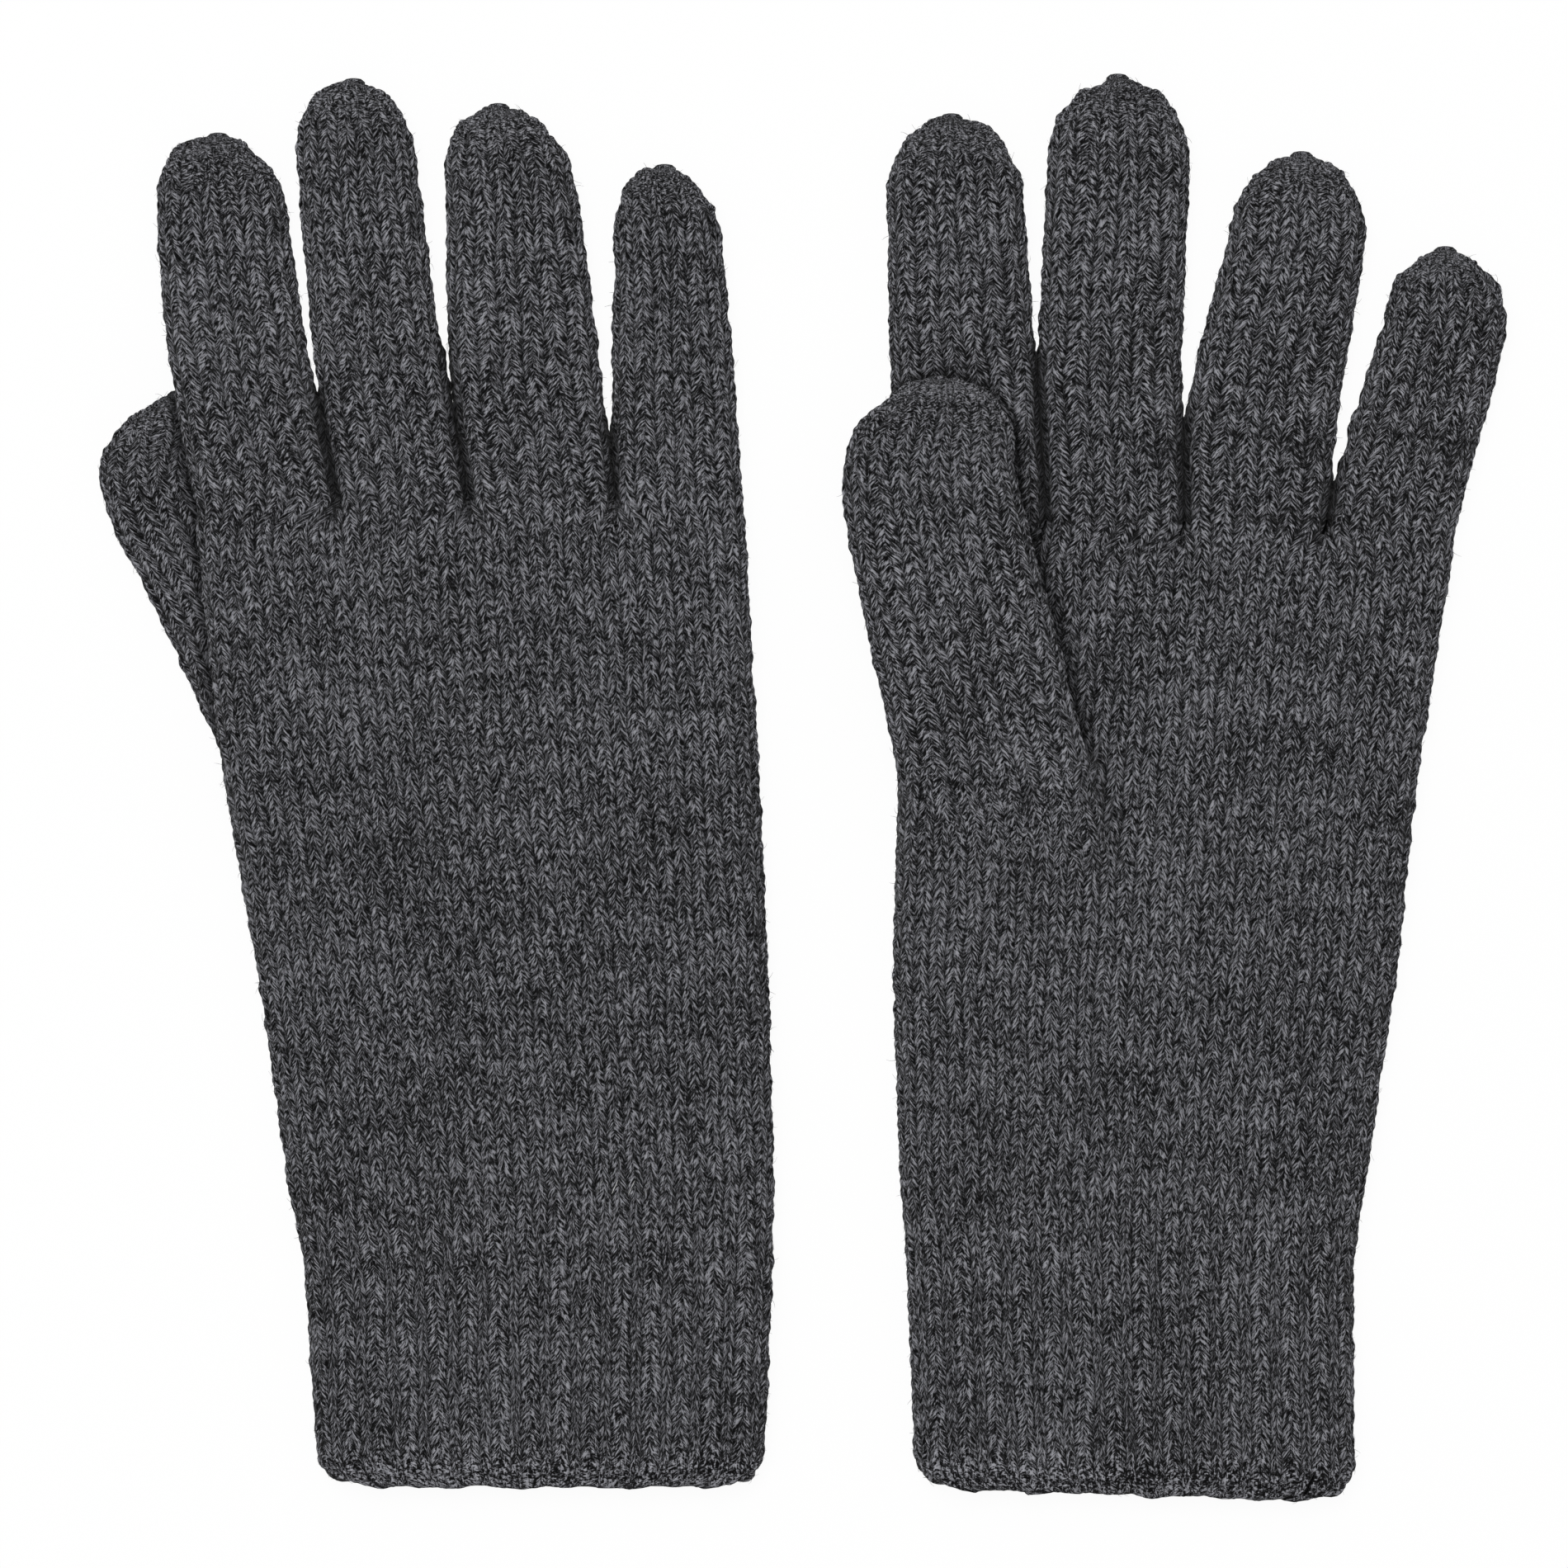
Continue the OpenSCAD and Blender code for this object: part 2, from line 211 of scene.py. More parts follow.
def ribPlace(u, v):
    # shares each pair of wales out between a wide column and a narrow furrow, more so away from the wrist,
    # which is at v = 0
    share = 0.5 + (rib["columnShare"] - 0.5) * softStep(-v / rib["setIn"])
    part = u % 2
    return u - part + np.where(part < 1, 2 * share * part, 2 * share + 2 * (1 - share) * (part - 1))


def normalsOf(points):
    # outward normals of a grid that closes on itself in its second direction
    du = np.roll(points, -1, 1) - np.roll(points, 1, 1)
    dv = np.gradient(points, axis=0)
    n = np.cross(du, dv)
    n /= np.maximum(np.linalg.norm(n, axis=2, keepdims=True), 1e-9)
    outward = np.sum(n * (points - points.mean(1, keepdims=True)))
    return n if outward > 0 else -n


def gridFaces(rows, columns, start):
    # corners of the quads of a closed grid, with the row and column of each corner for its map
    i, j = np.meshgrid(np.arange(rows - 1), np.arange(columns), indexing="ij")
    i, j = i.ravel(), j.ravel()
    ci = np.stack([i, i + 1, i + 1, i], 1)
    cj = np.stack([j, j, j + 1, j + 1], 1)
    return start + ci * columns + cj % columns, ci, cj


def makePiece(name, cloth, rows, closed, material):
    # One closed shell of cloth: the outer grid, the lining grid turned the other way, a rim at each open end
    # and a fan of triangles at each closed one. The stitch map holds u and v.
    outer, lining = cloth["outer"][rows], cloth["lining"][rows]
    keep = np.unique(np.append(np.arange(0, len(lining), knit["liningStep"]), len(lining) - 1))
    lining = lining[keep]
    u = np.append(cloth["u"], cloth["wales"])
    v = cloth["v"][rows]
    v = np.hstack([v, v[:, :1]])
    vIn = v[keep]
    count, columns = outer.shape[:2]
    points = np.vstack([outer.reshape(-1, 3), lining.reshape(-1, 3)])
    inside = count * columns
    faceO, ciO, cjO = gridFaces(count, columns, 0)
    faceI, ciI, cjI = gridFaces(len(lining), columns, inside)
    quads = [faceO, faceI[:, ::-1]]
    maps = [np.stack([u[cjO], v[ciO, cjO]], 2), np.stack([u[cjI], vIn[ciI, cjI]], 2)[:, ::-1]]
    j = np.arange(columns)
    jn = (j + 1) % columns
    lastO = inside - columns
    lastI = len(points) - columns
    for o, n, end in ((0, inside, 0), (lastO, lastI, -1))[:1 if closed else 2]:
        rim = np.stack([n + j, o + j, o + jn, n + jn], 1)
        rimMap = np.stack([np.stack([u[j], u[j], u[j + 1], u[j + 1]], 1),
                           np.stack([v[end][j], v[end][j], v[end][j + 1], v[end][j + 1]], 1)], 2)
        quads.append(rim[:, ::-1] if end else rim)
        maps.append(rimMap[:, ::-1] if end else rimMap)
    quads = np.vstack(quads)
    loops = [quads.ravel()]
    coords = [np.vstack(maps).reshape(-1, 2)]
    sizes = [np.full(len(quads), 4)]
    if closed:
        pole = len(points)
        points = np.vstack([points, outer[-1].mean(0), lining[-1].mean(0)])
        fanO = np.stack([lastO + j, np.full(columns, pole), lastO + jn], 1)
        fanI = np.stack([lastI + jn, np.full(columns, pole + 1), lastI + j], 1)
        fanU = np.stack([u[j], u[j], u[j + 1]], 1)
        fanMap = np.stack([fanU, v[-1].mean() + np.array([[0, 0.3, 0]]) + 0 * fanO], 2)
        loops += [fanO.ravel(), fanI.ravel()]
        coords += [fanMap.reshape(-1, 2), fanMap.reshape(-1, 2)]
        sizes.append(np.full(2 * columns, 3))
    loops = np.concatenate(loops)
    coords = np.vstack(coords)
    sizes = np.concatenate(sizes)
    starts = np.cumsum(sizes) - sizes
    # turn the faces outwards: the volume of a closed mesh is a sixth of the sum of a.(b x c)
    a, b, c = (points[loops[starts + k]] for k in range(3))
    d = points[loops[starts + sizes - 1]]
    volume = np.sum(a * np.cross(b, c)) + np.sum(np.where(sizes[:, None] == 4, a * np.cross(c, d), 0))
    if volume < 0:
        back = np.repeat(starts + sizes - 1, sizes) - (np.arange(len(loops)) - np.repeat(starts, sizes))
        loops = loops[back]
        coords = coords[back]
    return addMesh(name, points, loops, starts, coords, material)


def addMesh(name, points, loops, starts, coords, material):
    mesh = bpy.data.meshes.new(name)
    mesh.vertices.add(len(points))
    mesh.vertices.foreach_set("co", (points * mm).astype(np.float32).ravel())
    mesh.loops.add(len(loops))
    mesh.loops.foreach_set("vertex_index", loops.astype(np.int32))
    mesh.polygons.add(len(starts))
    mesh.polygons.foreach_set("loop_start", starts.astype(np.int32))
    mesh.uv_layers.new(name="stitches")
    mesh.uv_layers[0].data.foreach_set("uv", coords.astype(np.float32).ravel())
    mesh.update(calc_edges=True)
    mesh.validate()
    mesh.shade_smooth()
    mesh.materials.append(material)
    piece = bpy.data.objects.new(name, mesh)
    bpy.context.scene.collection.objects.link(piece)
    return piece


# The yarn: shades are stops from the darkest fibre to the lightest, places on the ramp and linear greys
yarn = {
    "shades": ((0.26, 0.002), (0.38, 0.008), (0.50, 0.038), (0.60, 0.135), (0.74, 0.48)),
    "tint": (0.98, 0.985, 1.075), "fibresAcross": 4.8, "fibresAlong": 2.0, "hollowShade": 0.09,
    "bump": 0.7, "sheen": 0.1, "roughness": 0.95,
}


class Nodes:
    # short hands for wiring a material
    def __init__(self, material):
        self.tree = material.node_tree
        self.tree.nodes.clear()

    def add(self, kind, **values):
        node = self.tree.nodes.new(kind)
        for key, value in values.items():
            setattr(node, key, value)
        return node

    def link(self, source, target):
        self.tree.links.new(source, target)

    def math(self, operation, a, b=None, c=None, clamp=False):
        node = self.add("ShaderNodeMath", operation=operation, use_clamp=clamp)
        for socket, value in zip(node.inputs, (a, b, c)):
            if value is None:
                continue
            if isinstance(value, (int, float)):
                socket.default_value = value
            else:
                self.link(value, socket)
        return node.outputs[0]

    def vector(self, x, y, z):
        node = self.add("ShaderNodeCombineXYZ")
        for socket, value in zip(node.inputs, (x, y, z)):
            if isinstance(value, (int, float)):
                socket.default_value = value
            else:
                self.link(value, socket)
        return node.outputs[0]

    def noise(self, vector, scale, detail, roughness=0.5):
        node = self.add("ShaderNodeTexNoise")
        self.link(vector, node.inputs["Vector"])
        node.inputs["Scale"].default_value = scale
        node.inputs["Detail"].default_value = detail
        node.inputs["Roughness"].default_value = roughness
        return node.outputs["Fac"]


def heatherMaterial(name, fuzz):
    # Wool of mixed light and dark fibres, drawn from the stitch map. Fibres run along each leg, the hollows
    # round a leg get painted shade, the yarn's tone drifts along each course, and a few light hairs lie over
    # it.
    material = bpy.data.materials.new(name)
    material.use_nodes = True
    n = Nodes(material)
    split = n.add("ShaderNodeSeparateXYZ")
    n.link(n.add("ShaderNodeUVMap", uv_map="stitches").outputs[0], split.inputs[0])
    u, v = split.outputs[0], split.outputs[1]
    objectPlace = n.add("ShaderNodeTexCoord").outputs["Object"]
    fold = n.math("SUBTRACT", 1.0, n.math("ABSOLUTE", n.math("MULTIPLY_ADD", n.math("FRACT", u), 2.0, -1.0)))
    phase = n.math("SUBTRACT", v, n.math("MULTIPLY", fold, knit["climb"]))
    leg = n.math("FLOOR", n.math("MULTIPLY", u, 2.0))
    course = n.math("FLOOR", phase)
    # height of the leg's back, as in legHeight
    leaf = n.math("SINE", n.math("MULTIPLY_ADD", fold, 0.8 * np.pi, 0.06 * np.pi))
    acrossLeg = n.math("DIVIDE", n.math("MULTIPLY_ADD", n.math("FRACT", phase), 2.0, -1.0),
                       n.math("MULTIPLY_ADD", leaf, 0.35, 0.8))
    back = n.math("SQRT", n.math("SUBTRACT", 1.0, n.math("POWER", acrossLeg, 2.0), clamp=True))
    height = n.math("MULTIPLY", leaf, back)
    # fibres along the leg, with a twist that turns them a little across it
    twist = n.math("MULTIPLY_ADD", fold, 0.35, phase)
    legId = n.math("MULTIPLY_ADD", leg, 3.17, n.math("MULTIPLY", course, 0.73))
    fibre = n.noise(n.vector(n.math("MULTIPLY", twist, yarn["fibresAcross"]),
                             n.math("MULTIPLY", fold, yarn["fibresAlong"]), legId), 1.0, 1.0, 0.55)
    finer = n.noise(n.vector(n.math("MULTIPLY", twist, yarn["fibresAcross"] * 2.3),
                             n.math("MULTIPLY", fold, yarn["fibresAlong"] * 1.5),
                             n.math("ADD", legId, 31.3)), 1.0, 1.0, 0.55)
    legTone = n.add("ShaderNodeTexWhiteNoise", noise_dimensions="2D")
    n.link(n.vector(leg, course, 0.0), legTone.inputs["Vector"])
    drift = n.noise(n.vector(n.math("MULTIPLY", u, 0.1), n.math("MULTIPLY", course, 5.3), 0.0), 1.0, 2.0, 0.6)
    cloud = n.noise(objectPlace, 45.0, 3.0, 0.6)
    parts = [(fibre, 1.3), (finer, 1.25), (legTone.outputs["Value"], 0.05), (drift, 0.3), (cloud, 0.1)]
    mix = 0.5
    for value, weight in parts:
        mix = n.math("ADD", mix, n.math("MULTIPLY_ADD", value, weight, -0.5 * weight))
    for turn in (0.5, -0.9):
        mapping = n.add("ShaderNodeMapping")
        mapping.inputs["Rotation"].default_value = (0, 0, turn)
        mapping.inputs["Scale"].default_value = (4600, 800, 900)
        n.link(objectPlace, mapping.inputs["Vector"])
        hair = n.math("MULTIPLY_ADD", n.noise(mapping.outputs[0], 1.0, 0.0), 1.0, -0.62)
        mix = n.math("ADD", mix, n.math("MULTIPLY", n.math("MAXIMUM", hair, 0.0), fuzz))
    ramp = n.add("ShaderNodeValToRGB")
    stops = ramp.color_ramp.elements
    for number, (at, grey) in enumerate(yarn["shades"]):
        stop = stops[number] if number < 2 else stops.new(at)
        stop.position = at
        stop.color = tuple(grey * t for t in yarn["tint"]) + (1,)
    n.link(mix, ramp.inputs[0])
    # painted shade: the colour darkens into the hollows between the legs as each leg's back falls away, and is
    # then multiplied by the painted shade held in the shade attribute
    shade = n.math("MULTIPLY_ADD", n.math("POWER", height, 0.7), 1 - yarn["hollowShade"], yarn["hollowShade"])
    shade = n.math("MULTIPLY", shade, n.add("ShaderNodeAttribute", attribute_name="shade").outputs["Fac"])
    dim = n.add("ShaderNodeMix", data_type="RGBA", blend_type="MULTIPLY")
    dim.inputs["Factor"].default_value = 1.0
    n.link(ramp.outputs[0], dim.inputs["A"])
    n.link(n.vector(shade, shade, shade), dim.inputs["B"])
    bump = n.add("ShaderNodeBump")
    bump.inputs["Strength"].default_value = yarn["bump"]
    bump.inputs["Distance"].default_value = 0.0004
    n.link(mix, bump.inputs["Height"])
    shader = n.add("ShaderNodeBsdfPrincipled")
    shader.inputs["Roughness"].default_value = yarn["roughness"]
    shader.inputs["Sheen Weight"].default_value = yarn["sheen"]
    shader.inputs["Sheen Roughness"].default_value = 0.5
    shader.inputs["Specular IOR Level"].default_value = 0.15
    n.link(dim.outputs["Result"], shader.inputs["Base Color"])
    n.link(bump.outputs[0], shader.inputs["Normal"])
    n.link(shader.outputs[0], n.add("ShaderNodeOutputMaterial").inputs[0])
    return material


def rubberMaterial():
    # covered elastic: near black, faintly mottled
    material = bpy.data.materials.new("elastic")
    material.use_nodes = True
    n = Nodes(material)
    place = n.add("ShaderNodeTexCoord").outputs["Object"]
    speck = n.noise(place, 2500.0, 2)
    ramp = n.add("ShaderNodeValToRGB")
    ramp.color_ramp.elements[0].color = (0.012, 0.012, 0.013, 1)
    ramp.color_ramp.elements[1].color = (0.05, 0.05, 0.053, 1)
    n.link(speck, ramp.inputs[0])
    shader = n.add("ShaderNodeBsdfPrincipled")
    shader.inputs["Roughness"].default_value = 0.7
    n.link(ramp.outputs[0], shader.inputs["Base Color"])
    n.link(shader.outputs[0], n.add("ShaderNodeOutputMaterial").inputs[0])
    return material


rib = {"columnShare": 0.64, "depth": 0.4, "courses": 26, "setIn": 5.0, "hemHeight": 4.0, "hemSwell": 0.6,
       "cornerRadius": 6.5, "rollIn": 1.3, "hemWave": 0.35, "bendRun": 14.0}
plainYarn = heatherMaterial("heather_plain", 1.1)
ribYarn = heatherMaterial("heather_rib", 1.4)
elasticThread = rubberMaterial()
print("materials made")

hair = {"perArea": 0.07, "edgeExtra": 3.2, "length": (0.5, 1.8), "radius": 0.045}
hand = {"wales": 64, "course": 2.12, "edge": 5.0, "forkRun": 8.0, "forkSharp": 1.5}
finger = {"wales": 16, "edge": 8.0, "bendHalf": 7.0, "knuckleRun": 14.0, "press": 0.75, "pucker": 0.6,
          "slack": 0.3}
thumb = {"wales": 20, "edge": 9.0, "sunk": 22.0, "height": 8.0, "gap": 0.3}
gusset = {"length": 42.0, "drape": 25.0}
knot = {"ring": 1.15, "yarn": 0.6, "sunk": 0.85, "rings": 14, "sides": 8}


def setUp(glove):
    # shapes and levels of one glove, read from the CAD nodes and joints
    side = glove["side"]
    glove["wrist"] = jointPlace(side + "_wrist_bend")[1]
    glove["thumbLevel"] = jointPlace(side + "_thumb_lift")[1]
    glove["fork"] = jointPlace(side + "_ring_knuckle")[1]
    glove["edges"] = outline([side + "_lower_hand", side + "_upper_hand"], glove["wrist"] + 3, 16.0)
    hemLow, hemHigh = boxOf(side + "_hem")
    glove["hem"] = (hemLow, hemHigh)
    glove["height"] = boxOf("left_upper_hand")[1][2]
    glove["rise"] = boxOf("right_upper_hand")[1][2] - glove["height"]
    glove["courses"] = int(round((glove["fork"] - glove["wrist"]) / hand["course"]))
    glove["course"] = (glove["fork"] - glove["wrist"]) / glove["courses"]
    glove["climb"] = knit["climb"] * glove["course"]
    for name in fingerNames + ["thumb"]:
        start = glove["fork"] if name != "thumb" else glove["thumbLevel"]
        shape = outline([side + "_" + name + "_base", side + "_" + name + "_end"])
        tipPoints = nodeVertices(side + "_" + name + "_tip")
        top = tipPoints[:, 1].max()
        tipX = tipPoints[tipPoints[:, 1] > top - 0.05][:, 0].mean()
        glove[name] = {
            "name": name, "shape": shape, "start": start, "bend": jointPlace(side + "_" + name + "_bend")[1],
            "capStart": tipPoints[:, 1].min(), "tip": (tipX, top + finger["slack"]),
            "shoulders": glove["shoulders"][name],
        }
    ys = np.arange(glove["thumbLevel"], glove["thumb"]["tip"][1])
    right = edgesAt(glove["thumb"]["shape"], ys)[1]
    glove["ridge"] = (np.concatenate([[glove["thumbLevel"] - gusset["length"]], ys]),
                      np.concatenate([[right[0] + 3], right + 1]))


def rampUp(glove, y):
    # how far the thumb's root has risen out of the hand at a level
    return softStep(1 - (glove["thumbLevel"] - y) / gusset["length"])


def lift(glove, x, y):
    # height that the thumb below lends to the palm-down hand: full over the thumb, then draped down beside it
    beside = softStep(1 - (x - np.interp(y, *glove["ridge"])) / gusset["drape"])
    past = softStep((glove["thumb"]["tip"][1] + gusset["drape"] - y) / gusset["drape"])
    return glove["rise"] * beside * rampUp(glove, y) * past


def bulge(glove, x, y):
    # swelling of the palm side over the thumb's root, which ends under the thumb just past its foot
    width = 3.5 + 0.5 * np.maximum(glove["thumbLevel"] - y, 0)
    beside = softStep(0.5 - (x - np.interp(y, *glove["ridge"])) / width)
    ends = softStep((glove["thumbLevel"] + 2.0 - y) / 5.0)
    return (glove["rise"] - thumb["gap"]) * beside * rampUp(glove, y) * ends


def place(glove, x, y, w):
    # from the glove's own height w above the back of the hand to where it lies, a little crinkled
    x, y = x + knit["crinkle"] * crinkle(x, y, 1), y + knit["crinkle"] * crinkle(x, y, 2)
    z = w if glove["face"] > 0 else lift(glove, x, y) + glove["height"] - w
    fade = np.clip((glove["wrist"] - y) / (glove["wrist"] - glove["hem"][0][1]), 0, 1)
    centre = (glove["hem"][0][0] + glove["hem"][1][0]) / 2
    return np.stack([x, y + glove["hemSlope"] * (x - centre) * fade, z], 2)


def stitchGrid(wales, firstRow, lastRow):
    # columns u, rows p (the strand's own phase, whole numbers being the gaps between strands) and fold
    u = np.arange(wales * knit["samplesAcross"]) / knit["samplesAcross"]
    p = np.arange(firstRow * knit["samplesAlong"], lastRow * knit["samplesAlong"] + 1) / knit["samplesAlong"]
    return u, p, foldOf(u)[None, :]


def clothe(glove, wales, u, p, x, y, w, which, calm, fade=1.0, extra=0.0):
    # Outer surface with its legs in relief, and the lining a wall's thickness inside. Each leg has a height of
    # its own and sways a little to one side. calm is 0 at rims that meet another piece, fade is 0 at a pole,
    # and extra sinks the cloth further.
    base = place(glove, x, y, w)
    normal = normalsOf(base)
    fold = foldOf(u)[None, :]
    height = legHeight(fold, (p % 1)[:, None])
    course = (np.floor(p) - np.floor(p[0])).astype(int)[:, None]
    leg = np.floor(2 * u).astype(int)[None, :]
    rng = np.random.default_rng(seed + which)
    size, sideways, upwards = rng.random((3, course.max() + 1, 2 * wales))[:, course, leg]
    depth = knit["relief"] * fade * (1 - height * (1 - knit["unevenness"] * calm * size)) + extra
    sway = knit["stray"] * calm * fade * height
    outer = base - normal * depth[:, :, None]
    outer += np.stack([sway * (2 * sideways - 1), 1.6 * sway * (2 * upwards - 1), 0 * sway], 2)
    lining = base - normal * (knit["wall"] * np.sqrt(fade) * np.ones(depth.shape))[:, :, None]
    return {"outer": outer, "lining": lining, "u": u, "v": p[:, None] + knit["climb"] * fold, "wales": wales}


def frayed(name, cloth, rows, material, which):
    # Loose fibres on a stretch of cloth: each is a thin three-sided hair of four rings that leans out of the
    # stitches and curls over. They are drawn by area, and lie thicker round the edges of the glove.
    outer = cloth["outer"][rows][1:-1]
    normal = normalsOf(outer).reshape(-1, 3)
    mapU = np.broadcast_to(cloth["u"], outer.shape[:2]).reshape(-1)
    mapV = cloth["v"][rows][1:-1].reshape(-1)
    area = np.linalg.norm(np.cross(np.roll(outer, -1, 1) - outer, np.gradient(outer, axis=0)), axis=2).ravel()
    share = area * (1 + hair["edgeExtra"] * (np.abs(normal[:, 2]) < 0.75))
    rng = np.random.default_rng(seed + 500 + which)
    count = int(hair["perArea"] * share.sum())
    root = rng.choice(len(share), count, p=share / share.sum())
    out = normal[root]
    stray = rng.normal(size=(count, 3))
    along = stray - out * np.sum(stray * out, 1, keepdims=True)
    along /= np.linalg.norm(along, axis=1, keepdims=True)
    rise = rng.uniform(0.15, 0.9, (count, 1))
    length = rng.uniform(*hair["length"], (count, 1))
    side = np.cross(out, along)
    turn = rng.uniform(-0.8, 0.8, (count, 1))
    t = np.linspace(0, 1, 4)
    start = outer.reshape(-1, 3)[root] - 0.15 * out
    spine = [start + length * (along * k + out * rise * (k - 0.6 * k * k) + side * turn * k * k) for k in t]
    radius = hair["radius"] * (1 - 0.6 * t)
    rings = [spine[k] + radius[k] * (np.cos(a) * side + np.sin(a) * out)
             for k in range(4) for a in np.arange(3) * 2 * np.pi / 3]
    points = np.stack(rings, 1).reshape(-1, 3)
    quads = np.array([[3 * k + a, 3 * k + (a + 1) % 3, 3 * k + 3 + (a + 1) % 3, 3 * k + 3 + a]
                      for k in range(3) for a in range(3)])
    first = 12 * np.arange(count)[:, None, None]
    loops = np.concatenate([(quads + first).ravel(), (np.array([[2, 1, 0], [9, 10, 11]]) + first).ravel()])
    sizes = np.concatenate([np.full(9 * count, 4), np.full(2 * count, 3)])
    coords = np.stack([mapU[root], mapV[root]], 1)[loops // 12]
    coords = coords + 0.12 * np.stack([0 * loops, loops % 12 // 3], 1)
    return addMesh(name, points, loops, np.cumsum(sizes) - sizes, coords, material)


def forkSection(glove, u, y):
    # the four finger tubes side by side: wales are shared out eight to a finger on each face
    perFinger = hand["wales"] // 8
    half = hand["wales"] / 2
    local = np.where(u < half, u, hand["wales"] - u)
    index = np.clip(np.floor(local / perFinger), 0, 3).astype(int)
    share = local / perFinger - index
    left, right = np.zeros(y.shape), np.zeros(y.shape)
    for number, name in enumerate(fingerNames):
        mine = index == number
        left[:, mine], right[:, mine] = fingerEdges(glove, name, y[:, mine])
    turn = np.where(u < half, share / 2, np.where(share >= 1, 0.5, 1 - share / 2))
    return section(np.clip(turn, 0, 0.9999999)[None, :], left, right, glove["height"] - finger["slack"],
                   finger["edge"], glove["height"] / 2)


def makeHand(glove):
    # hand tube from wrist to fork, morphing into the four finger tubes over its last stretch
    wales, courses = hand["wales"], glove["courses"]
    u, p, fold = stitchGrid(wales, 0, courses)
    calm = np.clip(np.minimum(p, courses - p), 0, 1)[:, None]
    y = glove["wrist"] + glove["course"] * p[:, None] + glove["climb"] * fold
    turn = (u[None, :] + knit["wander"] * calm * ripple(u[None, :], p[:, None], wales, 3)) / wales
    left, right = edgesAt(glove["edges"], y)
    x, w = section(turn, left, right, glove["height"], hand["edge"], glove["height"] / 2)
    forkX, forkW = forkSection(glove, u, y)
    morph = softStep(1 - (glove["fork"] - y) / hand["forkRun"]) ** hand["forkSharp"]
    x = x + (forkX - x) * morph
    w = w + (forkW - w) * morph
    w = w + bulge(glove, x, y) * softStep(w / glove["height"])
    y = y + 0.35 * calm * ripple(u[None, :], p[:, None], wales, 5)
    w = w + 0.15 * calm * ripple(u[None, :], 0.4 * p[:, None], wales, 6)
    cloth = clothe(glove, wales, u, p, x, y, w, glove["draws"]["hand"], calm)
    cut = (courses // 2) * knit["samplesAlong"]
    for part, rows in (("lower_hand", slice(0, cut + 1)), ("upper_hand", slice(cut, None))):
        piece = makePiece(glove["side"] + "_" + part + "_knit", cloth, rows, False, plainYarn)
        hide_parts(glove["side"] + "_" + part)
        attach(piece, glove["side"] + "_hand")
    fuzz = frayed(glove["side"] + "_hand_hairs", cloth, slice(None), plainYarn,
                  glove["draws"]["handHairs"])
    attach(fuzz, glove["side"] + "_hand")


